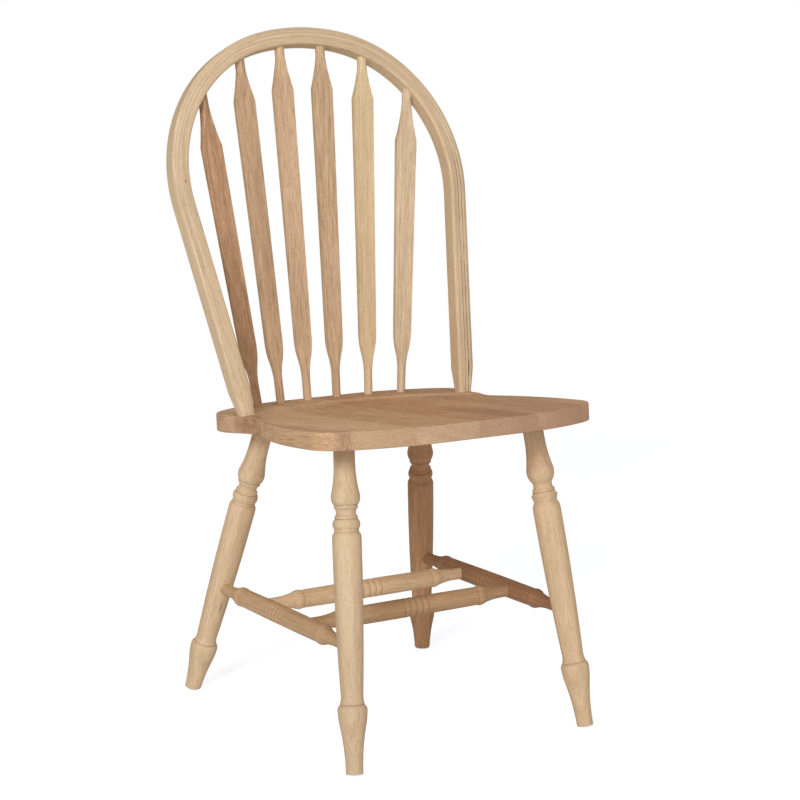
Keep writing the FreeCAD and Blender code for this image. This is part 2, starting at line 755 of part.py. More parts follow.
# Right-hand half of the plan from the middle of the front, as point, radius and turn
plan = [
    (front_flat, 0, None, 0),
    (front_flat + front_span * corner_scale,
     front_radius + (corner_inset - front_radius) * corner_scale, front_radius, 1),
    (half_width, corner_inset, corner_radius, 1),
    (half_width, side_inset, None, 0),
    (side_centre + (waist_across - side_centre) * side_share,
     side_inset + (waist_inset - side_inset) * side_share, side_radius, 1),
    (waist_across + (wing_across - waist_across) * wing_share,
     waist_inset + (wing_inset - waist_inset) * wing_share, waist_radius, -1),
    (rear_flat + rear_span * rear_scale,
     rear_centre + (wing_inset - rear_centre) * rear_scale, wing_radius, 1),
    (rear_flat, size("seat_depth"), rear_radius, 1),
]
seat_outline = Outline(str(-front_flat), "0")
for across, up, radius, turn in plan:
    if radius is None:
        seat_outline.line(str(across), str(up))
    else:
        seat_outline.arc(str(across), str(up), str(radius), turn)
seat_outline.line(str(-rear_flat), str(size("seat_depth")))
for index in range(len(plan) - 2, 0, -1):
    across, up, _, _ = plan[index]
    _, _, radius, turn = plan[index + 1]
    if radius is None:
        seat_outline.line(str(-across), str(up))
    else:
        seat_outline.arc(str(-across), str(up), str(radius), turn)
seat_outline.arcs[len(seat_outline.corners) - 1] = (str(plan[1][2]), plan[1][3])

blank = new_body("seat_blank")
plan_sketch = new_sketch(blank, "seat_plan", "XY_Plane")
draw(plan_sketch, seat_outline.corners, seat_outline.arcs)
seat_pad = blank.newObject("PartDesign::Pad", "seat_pad")
seat_pad.Profile = plan_sketch
seat_pad.setExpression("Length", "sizes.seat_thickness")
seat_pad.Reversed = True
doc.recompute()


LEVEL_TOLERANCE = 1e-6


def level_edges(shape, height):
    """Names of the shape's edges that lie at this height."""
    return [f"Edge{index}" for index, edge in enumerate(shape.Edges, start=1)
            if max(abs(edge.BoundBox.ZMin - height), abs(edge.BoundBox.ZMax - height)) < LEVEL_TOLERANCE]


top_round = blank.newObject("PartDesign::Fillet", "seat_top_round")
top_round.Base = (seat_pad, level_edges(seat_pad.Shape, 0))
top_round.setExpression("Radius", "sizes.seat_top_edge")
doc.recompute()
lower_round = blank.newObject("PartDesign::Fillet", "seat_lower_round")
lower_round.Base = (top_round, level_edges(top_round.Shape, -size("seat_thickness")))
lower_round.setExpression("Radius", "sizes.seat_lower_edge")

# The scoop: behind its middle a cutter swung half round, and the same shape run out to the front
floor_edge = "(sizes.scoop_radius - sizes.scoop_wall)"
floor_radius = f"({floor_edge}^2 + sizes.scoop_dish^2) / (2 * sizes.scoop_dish)"
half_profile = Outline("0", "-sizes.scoop_dish")
half_profile.arc(floor_edge, "0", floor_radius, 1)
half_profile.arc("sizes.scoop_radius", "sizes.scoop_wall", "sizes.scoop_wall", 1)
half_profile.line("sizes.scoop_radius", "sizes.seat_thickness")
half_profile.line("0", "sizes.seat_thickness")
scoop_rear = turned("scoop_rear", half_profile, 180)
full_profile = Outline("sizes.scoop_radius", "sizes.seat_thickness")
full_profile.line("-sizes.scoop_radius", "sizes.seat_thickness")
full_profile.line("-sizes.scoop_radius", "sizes.scoop_wall")
full_profile.arc(f"-{floor_edge}", "0", "sizes.scoop_wall", 1)
full_profile.arc(floor_edge, "0", floor_radius, 1)
full_profile.arc("sizes.scoop_radius", "sizes.scoop_wall", "sizes.scoop_wall", 1)
scoop_front = padded("scoop_front", full_profile, "XZ_Plane", "2 * sizes.scoop_inset")
scoop_front.Tip.Midplane = False
floor_slope = size("scoop_rear_depth") / (size("scoop_radius") + size("scoop_inset"))
scoop_frame = Placement(Vector(0, size("scoop_inset"), -floor_slope * size("scoop_inset")),
                        Rotation(Vector(1, 0, 0), -math.degrees(math.atan(floor_slope))))
scoop_rear.Placement = scoop_frame
scoop_front.Placement = scoop_frame

bow_sockets = []
for word, side in SIDES:
    socket_blank = doc.addObject("Part::Box", f"bow_socket_block_{word}")
    socket_blank.setExpression("Length", "sizes.bow_foot_width + 2 * sizes.joint_clearance")
    socket_blank.setExpression("Width", "sizes.bow_foot_depth + 2 * sizes.joint_clearance")
    socket_blank.setExpression("Height", "2 * sizes.bow_tenon + sizes.joint_clearance")
    doc.recompute()
    upright = [(index, size("bow_foot_radius"), size("bow_foot_radius"))
               for index, edge in enumerate(socket_blank.Shape.Edges, start=1)
               if edge.BoundBox.ZLength > size("bow_tenon")]
    socket = doc.addObject("Part::Fillet", f"bow_socket_{word}")
    socket.Base = socket_blank
    socket.Edges = upright
    place = post_point(section / 2, -size("bow_tenon") - size("joint_clearance"))
    turn = Rotation(Vector(0, 1, 0), side * size("bow_post_angle"))
    centring = Placement(Vector(-size("bow_foot_width") / 2 - size("joint_clearance"),
                                -size("bow_foot_depth") / 2 - size("joint_clearance"), 0), Rotation())
    in_bow = Placement(Vector(side * place.x, 0, place.y), turn).multiply(centring)
    socket.Placement = into_seat.multiply(bow_frame).multiply(in_bow)
    bow_sockets.append(socket)

seat_cutters = joined("seat_cutters", [scoop_rear, scoop_front] + leg_sockets + slat_seat_holes + bow_sockets)
seat_carved = cut("seat_carved", blank, seat_cutters)
pitch = size("board_width")
first = math.floor((-half_width - size("board_joint")) / pitch) + 1
joints = []
while size("board_joint") + (first + len(joints)) * pitch < half_width:
    joints.append(size("board_joint") + (first + len(joints)) * pitch)
edges = [-half_width - pitch] + joints + [half_width + pitch]
for number in range(1, len(edges)):
    name = f"seat_board_{number}"
    slice_box = doc.addObject("Part::Box", f"{name}_slice")
    slice_box.Length = edges[number] - edges[number - 1] - size("glue_line")
    slice_box.setExpression("Width", "2 * sizes.seat_depth")
    slice_box.setExpression("Height", "2 * sizes.seat_thickness")
    slice_box.Placement = Placement(Vector(edges[number - 1] + size("glue_line") / 2,
                                           -size("seat_depth") / 2, -1.5 * size("seat_thickness")), Rotation())
    nodes[name] = common(name, seat_carved, slice_box)
    nodes[name].Placement = seat_frame

doc.recompute()

# Checks before anything is written

for item in doc.Objects:
    if "Invalid" in item.State or "Error" in item.State:
        raise RuntimeError(f"{item.Name} did not build: {item.State}")
for name, node in nodes.items():
    if node.Shape.isNull() or not node.Shape.isValid():
        raise RuntimeError(f"{name} has no valid shape")
    print(f"{name}: solids {len(node.Shape.Solids)}, volume {node.Shape.Volume / 1000:.1f} cm3")
overall = FreeCAD.BoundBox()
for node in nodes.values():
    overall.add(node.Shape.optimalBoundingBox())
print("overall box", overall)

os.makedirs("parts", exist_ok=True)
for name, node in nodes.items():
    node.Shape.exportStep(f"parts/{name}.step")
print(len(nodes), "nodes")
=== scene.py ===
import math

import bpy
import numpy as np
from mathutils import Matrix


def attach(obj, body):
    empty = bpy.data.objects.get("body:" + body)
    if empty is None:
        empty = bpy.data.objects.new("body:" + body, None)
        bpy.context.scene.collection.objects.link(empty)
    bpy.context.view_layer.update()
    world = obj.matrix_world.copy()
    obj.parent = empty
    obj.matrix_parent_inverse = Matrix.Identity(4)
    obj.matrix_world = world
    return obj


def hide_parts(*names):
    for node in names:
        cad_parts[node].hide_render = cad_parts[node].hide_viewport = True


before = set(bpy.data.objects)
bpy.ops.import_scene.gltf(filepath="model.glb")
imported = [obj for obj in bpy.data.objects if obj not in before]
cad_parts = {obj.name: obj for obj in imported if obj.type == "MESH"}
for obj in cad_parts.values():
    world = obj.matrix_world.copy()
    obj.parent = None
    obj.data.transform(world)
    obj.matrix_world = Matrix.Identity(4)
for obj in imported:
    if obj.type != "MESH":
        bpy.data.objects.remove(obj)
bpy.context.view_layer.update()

# Seat. Six boards of pinkish hardwood, edge glued with the grain running front to back, then sawn
# to the outline and scooped. The wood is bare and finely sanded, so its pores and fibres show.
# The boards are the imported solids; each gets its own cut of the same wood.


class Field:
    """A value that changes over a surface. Sums and products of fields add their Math nodes."""

    def __init__(self, finish, socket):
        self.finish = finish
        self.socket = socket

    def maths(self, operation, *others):
        inputs = dict(enumerate((self,) + others))
        return self.finish.node("ShaderNodeMath", 0, inputs, operation=operation)

    def __add__(self, other):
        return self.maths("ADD", other)

    def __sub__(self, other):
        return self.maths("SUBTRACT", other)

    def __mul__(self, other):
        return self.maths("MULTIPLY", other)

    def __rsub__(self, other):
        return self * -1 + other

    __radd__ = __add__

    def __abs__(self):
        return self.maths("ABSOLUTE")

    def least(self, other):
        return self.maths("MINIMUM", other)

    def most(self, other):
        return self.maths("MAXIMUM", other)

    def ramp(self, start, end):
        """A smooth step from 0 at start to 1 at end."""
        inputs = {"Value": self, "From Min": start, "From Max": end}
        return self.finish.node("ShaderNodeMapRange", 0, inputs, interpolation_type="SMOOTHSTEP")


class Finish:
    """The nodes of one material, or of the world."""

    def __init__(self, owner):
        self.owner = owner
        owner.use_nodes = True
        self.tree = owner.node_tree
        self.tree.nodes.clear()

    def node(self, kind, output, inputs, **settings):
        """Adds a node: its settings first, then the values or links of its sockets."""
        added = self.tree.nodes.new(kind)
        for setting, value in settings.items():
            setattr(added, setting, value)
        for socket, value in inputs.items():
            if isinstance(value, Field):
                self.tree.links.new(value.socket, added.inputs[socket])
            else:
                added.inputs[socket].default_value = value
        return Field(self, added.outputs[output]) if added.outputs else None

    def drawn(self, place, across, wide, along):
        """A place with its three directions drawn out or pressed together."""
        inputs = {0: place, 1: (across, wide, along)}
        return self.node("ShaderNodeVectorMath", 0, inputs, operation="MULTIPLY")

    def noise(self, place, scale, detail=2.0, roughness=0.5):
        inputs = {"Vector": place, "Scale": scale, "Detail": detail, "Roughness": roughness}
        return self.node("ShaderNodeTexNoise", 0, inputs)

    def spot(self, place, centre, size):
        """1 in the middle of an oval blemish, fading to 0 at its rim."""
        away = self.node("ShaderNodeVectorMath", 0, {0: place, 1: centre}, operation="SUBTRACT")
        away = self.node("ShaderNodeVectorMath", 0, {0: away, 1: size}, operation="DIVIDE")
        return self.node("ShaderNodeVectorMath", 1, {0: away}, operation="LENGTH").ramp(1.0, 0.35)

    def blend(self, share, first, second):
        """Mixes two colours; a share of 0 is the first."""
        return self.node("ShaderNodeMix", 2, {0: share, 6: first, 7: second}, data_type="RGBA")

    def surface(self, colour, roughness, height, depth):
        """Ends the material: its colour, its roughness, and a relief of that depth in metres."""
        inputs = {"Strength": 1.0, "Distance": depth, "Height": height}
        bump = self.node("ShaderNodeBump", "Normal", inputs)
        inputs = {"Base Color": colour, "Roughness": roughness, "Normal": bump}
        shader = self.node("ShaderNodeBsdfPrincipled", "BSDF", inputs)
        self.node("ShaderNodeOutputMaterial", 0, {"Surface": shader})
        return self.owner


def screen_colour(red, green, blue):
    """Linear colour of a 0 to 255 screen colour."""
    share = np.array([red, green, blue]) / 255
    linear = np.where(share <= 0.04045, share / 12.92, ((share + 0.055) / 1.055) ** 2.4)
    return (*linear.tolist(), 1.0)


def tones(colour, contrast):
    """The palest and the darkest tone of a cut of wood whose mean is a 0 to 255 screen colour."""
    mean = np.array(screen_colour(*colour))
    pale = mean * (1 + 0.16 * contrast * np.array([1.0, 1.05, 1.1, 0.0]))
    dark = mean * (1 - 0.22 * contrast * np.array([1.0, 1.15, 1.35, 0.0]))
    return pale.tolist(), dark.tolist()


def sawn_wood(finish, place, pale, dark, heart, figure=1.0, coarse=1.0):
    """
    Colour, roughness and relief of one cut of bare wood, from a place in millimetres whose third
    direction runs along the grain. The log grew in layers around its heart, so tone and hardness
    depend on the distance from there, which wanders a little, and hardly change along the log.
    Fibres and pores are noise drawn out along the grain. Broad clouds are a slower noise. The
    figure says how strongly the layers and clouds show beside the fibres, and coarse fibres are
    that much wider.
    """
    wander = finish.noise(finish.drawn(place, 1, 1, 0.16), 0.016, 1.0)
    inputs = {0: place, 1: (*heart, 0.0)}
    from_heart = finish.node("ShaderNodeVectorMath", 0, inputs, operation="SUBTRACT")
    flat = finish.drawn(from_heart, 1, 1, 0)
    layer = finish.node("ShaderNodeVectorMath", 1, {0: flat}, operation="LENGTH") + wander * 22
    along = finish.node("ShaderNodeSeparateXYZ", 2, {0: place})
    depth = finish.node("ShaderNodeCombineXYZ", 0, {"X": layer, "Y": along * 0.012})
    years = finish.noise(depth, 0.34, 3.0, 0.62)
    clouds = finish.noise(finish.drawn(place, 1, 1, 0.2), 0.024, 2.0, 0.5)
    fibres = finish.noise(finish.drawn(place, 1, 1, 0.06), 0.62 / coarse, 4.0, 0.8)
    vessels = finish.noise(finish.drawn(place, 1, 1, 0.13), 1.1, 1.0, 0.5)
    pore = vessels.ramp(0.58, 0.72)
    shade = ((clouds - 0.5) + (years - 0.5) * 1.9) * figure + (fibres - 0.5) * 2.6 + 0.42
    colour = finish.blend(shade.most(-0.4).least(1.4), pale, dark)
    colour = finish.blend(pore * 0.33, colour, finish.blend(0.6, dark, (0.03, 0.014, 0.006, 1.0)))
    return colour, 0.52 + fibres * 0.16, fibres * 0.5 + years * 0.4 - pore


SEAT_FRONT, SEAT_HEIGHT, SEAT_TILT = -249.22, 456.2, math.radians(4.6)
BOARD_JOINT, BOARD_WIDTH = 88.0, 94.3
STREAK_BROWN = screen_colour(140, 98, 68)
# For each board: the tones of its faces and of its sawn ends, and the heart of its log, across from
# the board's middle and up from a level that is given from the floor. The hearts lie far below the
# seat, so the layers run nearly flat through it.
HEART_LEVEL = -395.0
BOARDS = {
    1: ((196, 161, 127), (188, 152, 122), (-170, -150)),
    2: ((219, 182, 146), (184, 152, 122), (190, -120)),
    3: ((207, 167, 130), (191, 161, 132), (-210, -90)),
    4: ((200, 155, 117), (182, 148, 120), (160, -150)),
    5: ((201, 160, 124), (186, 150, 123), (-190, -140)),
    6: ((206, 168, 134), (194, 157, 126), (170, -120)),
}
for board, (face, end, heart) in BOARDS.items():
    finish = Finish(bpy.data.materials.new(f"seat_board_{board}_wood"))
    place = finish.node("ShaderNodeTexCoord", "Object", {})
    moved = 31.0 * board, 17.0 * board
    log = finish.node("ShaderNodeMapping", 0, {
        "Vector": place, "Location": (*moved, 0.0),
        "Rotation": (SEAT_TILT - math.radians(90 + 3 * (-1) ** board), 0.0, math.radians(2)),
        "Scale": (1000, 1000, 1000)}, vector_type="POINT")
    middle = BOARD_JOINT + BOARD_WIDTH * (board - 4.5) + moved[0]
    centre = middle + heart[0], heart[1] + HEART_LEVEL + moved[1]
    facing = finish.node("ShaderNodeTexCoord", "Normal", {})
    across_grain = abs(finish.node("ShaderNodeSeparateXYZ", 1, {0: facing}))
    sawn_across = across_grain.ramp(0.55, 0.85)
    pale, dark = (finish.blend(sawn_across, of_face, of_end)
                  for of_face, of_end in zip(tones(face, 1.6), tones(end, 0.9)))
    colour, roughness, relief = sawn_wood(finish, log, pale, dark, centre, 0.6, 1.8)
    # The rear wall of the scoop gets painted shade: a darker, duller tone where it faces forward, which
    # hides the lighter band the lamps put on it.
    behind = finish.node("ShaderNodeSeparateXYZ", 1, {0: place}).ramp(0.0, 0.04)
    painted_wall_shade = across_grain.ramp(0.12, 0.3) * behind * (1 - sawn_across)
    colour = finish.blend(painted_wall_shade * 0.5, colour, screen_colour(182, 152, 127))
    # Steep stripes of end grain show at the front right corner, across the joint of boards 1 and 2.
    # Board 4 has a brown streak beside its left joint, and board 2 a swirl on its sawn side.
    if board < 3:
        corner = finish.spot(place, (-0.190, -0.214, 0.443), (0.0125, 0.03, 0.05))
        stripes = finish.noise(finish.drawn(place, 420, 0, 90), 1.0).ramp(0.4, 0.6)
        colour = finish.blend(corner * (0.22 + stripes * 0.4), colour, STREAK_BROWN)
    if board == 4:
        streak = finish.spot(place, (0.066, -0.17, 0.45), (0.035, 0.16, 0.1))
        colour = finish.blend(streak * 0.5, colour, dark)
    if board == 2:
        swirl = finish.spot(place, (-0.19, 0.05, 0.416), (0.04, 0.058, 0.03))
        swirl = swirl * (0.2 + finish.noise(place, 70.0, 3.0) * 0.9)
        colour = finish.blend(swirl, colour, STREAK_BROWN)
    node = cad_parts[f"seat_board_{board}"]
    node.data.materials.clear()
    node.data.materials.append(finish.surface(colour, roughness, relief, 0.0001))

# Legs. Four turnings of one pattern in pale hardwood: a tapered foot, a bulb, a slim ankle, a long
# shaft, then a ring, a cove and a belly. Each is glued into a blind socket in the seat. The rear pair
# is trimmed at the foot, every foot is levelled, and the front left turning was cut a little keener.


def arc(start, end, radius, turn, steps):
    """
    The short arc from start to end, start left out: a circle of that radius through both points,
    walked anticlockwise for a turn of 1 and clockwise for -1.
    """
    start, end = np.array(start, float), np.array(end, float)
    chord = end - start
    aside = np.array([-chord[1], chord[0]]) / np.hypot(*chord)
    centre = (start + end) / 2 + aside * turn * math.sqrt(radius ** 2 - chord @ chord / 4)
    first, last = (math.atan2(*(point - centre)[::-1]) for point in (start, end))
    swept = (last - first + math.pi) % (2 * math.pi) - math.pi
    angles = first + swept * np.linspace(0, 1, steps + 1)[1:]
    return centre + radius * np.column_stack([np.cos(angles), np.sin(angles)])


def swell(start, end, turn, steps):
    """
    One arc that leaves, or arrives at, one of its ends along the axis: its radius is the chord
    squared over twice the step across.
    """
    across, up = abs(end[0] - start[0]), end[1] - start[1]
    return arc(start, end, (up ** 2 + across ** 2) / (2 * across), turn, steps)


def ogee(start, end, turn, share, steps):
    """
    Two arcs in an S that both end along the axis and meet on the line between their ends. The
    first has this share of the radii and of that line.
    """
    across, up = abs(end[0] - start[0]), end[1] - start[1]
    whole = (up ** 2 + across ** 2) / (2 * across)
    middle = np.array(start) + share * (np.array(end) - np.array(start))
    return np.vstack([arc(start, middle, share * whole, turn, steps),
                      arc(middle, end, (1 - share) * whole, -turn, steps)])


def seat_point(across, back, above=0.0):
    """A point given in the tilted seat: across it, back from its front edge, above its top."""
    return np.array([across,
                     SEAT_FRONT + back * math.cos(SEAT_TILT) + above * math.sin(SEAT_TILT),
                     SEAT_HEIGHT - back * math.sin(SEAT_TILT) + above * math.cos(SEAT_TILT)])


def axes_along(start, towards, sideways):
    """
    Three directions as rows: across, deep and along. Along points from start towards a place,
    across is the sideways direction made square to it, and deep is square to both.
    """
    along = (towards - start) / np.linalg.norm(towards - start)
    across = np.array(sideways, float) - along * (np.array(sideways) @ along)
    across /= np.linalg.norm(across)
    return np.array([across, np.cross(along, across), along])


def placed(start, axes, local):
    """Local places put where the piece stands: start + across x + deep y + along z."""
    return start + local @ axes


def recesses(profile, reach=1.2, deep=1.2):
    """
    How far each place on a profile lies in a narrow groove, 0 to 1: how much a gauge with a flat
    end of twice that reach bridges over it, as a share of a deep groove.
    """
    radius, height = profile.T
    steps = np.arange(height.min(), height.max(), 0.25)
    near = np.abs(steps[:, None] - steps[None]) <= reach
    level = np.interp(steps, height, radius)
    bridged = np.where(near, level, -np.inf).max(1)
    bridged = np.where(near, bridged, np.inf).min(1)
    return np.clip((np.interp(height, steps, bridged) - radius) / deep, 0, 1)


def wrapped_skin(name, node, points, grain, material, groove_shade_and_dust=None):
    """
    A closed skin over rings of points: every ring joins the next one in four-cornered faces, and
    the first and last rings each close to their own middle. Points and grain are in millimetres.
    """
    rings, around, _ = points.shape
    corner = np.arange(rings * around).reshape(rings, around)
    after = np.roll(corner, -1, axis=1)
    sides = np.stack([corner[:-1], after[:-1], after[1:], corner[1:]], axis=-1).reshape(-1, 4)
    poles = np.full(around, rings * around), np.full(around, rings * around + 1)
    bottom = np.stack([after[0], corner[0], poles[0]], axis=-1)
    top = np.stack([corner[-1], after[-1], poles[1]], axis=-1)
    places = np.vstack([points.reshape(-1, 3), points[0].mean(0), points[-1].mean(0)]) / 1000
    mesh = bpy.data.meshes.new(name)
    mesh.from_pydata(places.tolist(), [], sides.tolist() + bottom.tolist() + top.tolist())
    mesh.polygons.foreach_set("use_smooth", np.ones(len(mesh.polygons), bool))
    mesh.set_sharp_from_angle(angle=math.radians(34))
    along_grain = np.vstack([grain.reshape(-1, 3), grain[0].mean(0), grain[-1].mean(0)])
    attribute = mesh.attributes.new("grain", "FLOAT_VECTOR", "POINT")
    attribute.data.foreach_set("vector", along_grain.astype(np.float32).ravel())
    # The grooves get painted shade, with some dust: a darker colour the deeper a place lies in a groove.
    if groove_shade_and_dust is not None:
        shaded_grooves = np.append(np.repeat(groove_shade_and_dust, around), [0.0, 0.0]).astype(np.float32)
        mesh.attributes.new("groove_shade_and_dust", "FLOAT", "POINT").data.foreach_set("value", shaded_grooves)
    mesh.materials.append(material)
    piece = bpy.data.objects.new(name, mesh)
    bpy.context.scene.collection.objects.link(piece)
    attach(piece, "root")
    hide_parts(node)
    return piece


def turned_rings(profile, around=96):
    """Rings of a turning in its own frame: the radius at each height, carried round the axis."""
    angle = np.linspace(0, 2 * math.pi, around, endpoint=False)
    radius, height = profile[:, :1], profile[:, 1:]
    return np.stack([radius * np.cos(angle), radius * np.sin(angle),
                     np.broadcast_to(height, (len(profile), around))], axis=-1)


def piece_wood(name, colour, contrast=1.0, figure=1.0, coarse=1.0, heart=(150.0, 120.0), blemish=None):
    """
    Bare wood that follows the piece's own grain directions, with painted shade and some dust in
    its grooves, and with at most one blemish: where it is in the piece, how large, and how strong.
    """
    finish = Finish(bpy.data.materials.new(name))
    place = finish.node("ShaderNodeAttribute", "Vector", {}, attribute_name="grain")
    groove_shade_and_dust = finish.node("ShaderNodeAttribute", "Fac", {}, attribute_name="groove_shade_and_dust")
    colour, roughness, relief = sawn_wood(finish, place, *tones(colour, contrast), heart, figure, coarse)
    # Painted shade, with some dust, darkens the wood in the grooves.
    colour = finish.blend(groove_shade_and_dust * 0.32, colour, screen_colour(112, 76, 48))
    if blemish:
        centre, size, strength = blemish
        colour = finish.blend(finish.spot(place, centre, size) * strength, colour,
                              screen_colour(96, 64, 42))
    return finish.surface(colour, roughness, relief, 0.00008)


# The turning's radii from the foot up, then two heights over its foot end and two curves' radii.
FOOT, BULB, ANKLE, SHAFT, BELLY, NECK = 11.4, 19.6, 14.9, 19.4, 19.3, 14.2
BULB_HEIGHT, ANKLE_HEIGHT, BULB_ARC, BELLY_ARC = 81.0, 101.5, 80.0, 19.0
SEAT_THICKNESS, LEG_TENON, REAR_TRIM, LEVELLED = 25.0, 12.0, 14.7, 1.0


def foot_radius(height):
    """The foot's hollow: an arc that leaves the floor end along the axis, to meet the bulb's arc."""
    drop = BULB - FOOT
    hollow = (BULB_HEIGHT ** 2 + drop ** 2) / (2 * drop) - BULB_ARC
    return FOOT + hollow - math.sqrt(hollow ** 2 - height ** 2)


def leg_stance(end, side):
    """
    Where a leg's turning starts, where it meets the seat's underside, and what was trimmed. The
    foot stands that far out and back from the seat's front edge, and its end dips under the floor
    by what is levelled off.
    """
    spread, entry, inset, trim, back = {"front": (185.9, 149.5, 107.2, 0.0, 21.4),
                                        "rear": (200.0, 129.9, 366.1, REAR_TRIM, 469.3)}[end]
    socket = seat_point(side * entry, inset, -SEAT_THICKNESS)
    foot = np.array([side * spread, SEAT_FRONT + back, 0.0])
    for _ in range(4):
        lean = (socket - foot) / np.linalg.norm(socket - foot)
        foot[2] = foot_radius(trim) * math.sqrt(1 - lean[2] ** 2) - LEVELLED
    return foot - trim * (socket - foot) / np.linalg.norm(socket - foot), socket, trim


FRONT_START, FRONT_SOCKET, _ = leg_stance("front", -1)
NECK_HEIGHT = np.linalg.norm(FRONT_SOCKET - FRONT_START) - 26.2
BELLY_HEIGHT = NECK_HEIGHT - 44.5
GROOVE_HEIGHT = NECK_HEIGHT - 86.0


def leg_profile(trim, top, keen):
    """
    Radius against height, from the trimmed foot to just inside the seat. The bulb ends in a short
    shoulder with a scored line over it. Small flat fillets set off the ring and the cove, except
    on a keen turning, where the ring is a sharp ridge and the cove runs smoothly into the belly.
    """
    bulb_share = 1 - 2 * BULB_ARC * (BULB - FOOT) / (BULB_HEIGHT ** 2 + (BULB - FOOT) ** 2)
    fall, narrowing = NECK_HEIGHT - BELLY_HEIGHT, BELLY - NECK
    belly_share = 2 * BELLY_ARC * narrowing / (fall ** 2 + narrowing ** 2)
    foot = [[(FOOT, 0.0)], ogee((FOOT, 0.0), (BULB, BULB_HEIGHT), -1, bulb_share, 14),
            arc((BULB, BULB_HEIGHT), (16.8, 89.6), 8.5, 1, 8), [(15.7, 90.0), (15.7, 90.7)],
            [(16.5, 91.1)], arc((16.5, 91.1), (ANKLE, ANKLE_HEIGHT), 25.0, -1, 6),
            swell((ANKLE, ANKLE_HEIGHT), (SHAFT, GROOVE_HEIGHT - 20), 1, 18)]
    belly = BELLY, BELLY_HEIGHT - GROOVE_HEIGHT
    if keen:
        rise = [(SHAFT, -10.9), arc((SHAFT, -10.9), (16.3, -1.8), 16.0, 1, 6), (15.9, -1.2),
                (16.0, -0.5), (17.7, 6.0), (18.7, 7.4), arc((18.7, 7.4), (15.7, 12.6), 9.0, -1, 6),
                (14.6, 12.9), (14.6, 13.5), (15.7, 13.9), (15.7, 15.9), (15.3, 16.1),
                arc((15.3, 16.1), (16.0, 29.0), 9.2, -1, 12), swell((16.0, 29.0), belly, 1, 8)]
    else:
        rise = [(SHAFT, -10.2), arc((SHAFT, -10.2), (16.9, -4.4), 9.0, 1, 6), (16.1, -4.0),
                (16.1, -3.5), (16.6, -3.1), (16.6, -0.4), (16.1, 0.0),
                arc((16.1, 0.0), (16.2, 12.4), 10.0, 1, 12),
                (14.9, 12.7), (14.9, 13.2), (15.7, 13.6), (15.7, 16.1), (15.3, 16.4),
                arc((15.3, 16.4), (15.6, 27.4), 7.6, -1, 12), (16.0, 27.7), (16.0, 30.3), (15.2, 30.7),
                (15.2, 31.2), (16.3, 31.6), swell((16.3, 31.6), belly, 1, 8)]
    neck = [ogee((BELLY, BELLY_HEIGHT), (NECK, NECK_HEIGHT), 1, belly_share, 12), [(NECK, top)]]
    profile = np.vstack(foot + [np.vstack(rise) + (0, GROOVE_HEIGHT)] + neck)
    kept = profile[profile[:, 1] > trim]
    return np.vstack([[(foot_radius(trim), trim)], kept])


LEG_WOODS = {
    "front_right": piece_wood("front_right_leg_wood", (203, 178, 147), 0.8),
    "front_left": piece_wood("front_left_leg_wood", (211, 184, 150), 0.8),
    "rear_right": piece_wood("rear_right_leg_wood", (218, 192, 159), 0.9,
                             blemish=((158.9, 73.0, 1155.0), (2.0, 4.0, 13.0), 0.5)),
    "rear_left": piece_wood("rear_left_leg_wood", (186, 145, 109), 1.3),
}
leg_lines = {}
for number, (end, word, side) in enumerate([("front", "right", -1), ("front", "left", 1),
                                            ("rear", "right", -1), ("rear", "left", 1)]):
    start, socket, trim = leg_stance(end, side)
    axes = axes_along(start, socket, (1, 0, 0))
    leg_lines[end, word] = start, axes, trim
    reach = np.linalg.norm(socket - start)
    profile = leg_profile(trim, reach + LEG_TENON, (end, word) == ("front", "left"))
    rings = turned_rings(profile)
    points = placed(start, axes, rings)
    points[..., 2] = np.maximum(points[..., 2], 0.0)
    # Each leg is cut from a place of its own in the wood, so that no two show the same grain.
    cut_from = np.array([70.0 * number + 20, 45.0 * number, 500.0 * number])
    leg = wrapped_skin(f"{end}_{word}_leg", f"leg_{end}_{word}", points, rings + cut_from,
                       LEG_WOODS[f"{end}_{word}"], recesses(profile))

# Stretchers. One turning in two lengths: a slim tenon end, a cove and a bead each way from a barrel
# with five scored lines at its middle. The side pair joins the legs, and the two cross pieces join
# the side pair. All ends are glued into blind holes.

STRETCHER_HEIGHT = 165.1
CROSS_STATIONS = {"rear": 125.5, "front": 247.4}
BARREL, BARREL_END, STRETCHER_END, PAST_AXIS = 13.5, 12.1, 8.3, 2.5
SCORED, BEAD_WIDTH, BEAD_RISE, COVE_LENGTH = 21.4, 13.0, 1.9, 28.0


def stretcher_profile(length, bead_inset, shift):
    """
    Radius against distance from the middle, worked out one way and mirrored to the other: two
    ridges between scored lines, half a barrel, a bead, a cove and the end. The scored lines may
    lie off the middle by a shift.
    """
    bead = length - bead_inset - BEAD_WIDTH / 2
    ridge = np.array([(12.1, 0.0), (12.9, 1.0), (13.4, 2.4), (13.6, 5.0), (13.4, 7.6), (12.9, 9.0)])
    runs = np.vstack([ridge, ridge + (0, 10), [(12.1, 20.0), (13.1, 21.0), (BARREL, SCORED)]])
    barrel = np.column_stack([np.linspace(BARREL, 13.0, 6), np.linspace(SCORED, bead - 1.2, 6)])[1:]
    bead_radius = ((BEAD_WIDTH / 2) ** 2 + BEAD_RISE ** 2) / (2 * BEAD_RISE)
    bead_end = BARREL_END, bead + BEAD_WIDTH
    cove_end = STRETCHER_END, bead_end[1] + COVE_LENGTH
    half = np.vstack([runs, barrel, [(BARREL_END, bead)],
                      arc((BARREL_END, bead), bead_end, bead_radius, 1, 10),
                      swell(bead_end, cove_end, -1, 10), [(STRETCHER_END, length + PAST_AXIS)]])
    whole = np.vstack([half[:0:-1] * (1, -1), half])
    return whole + np.where(np.abs(whole[:, 1:]) < SCORED + 0.5, (0, shift), (0, 0))


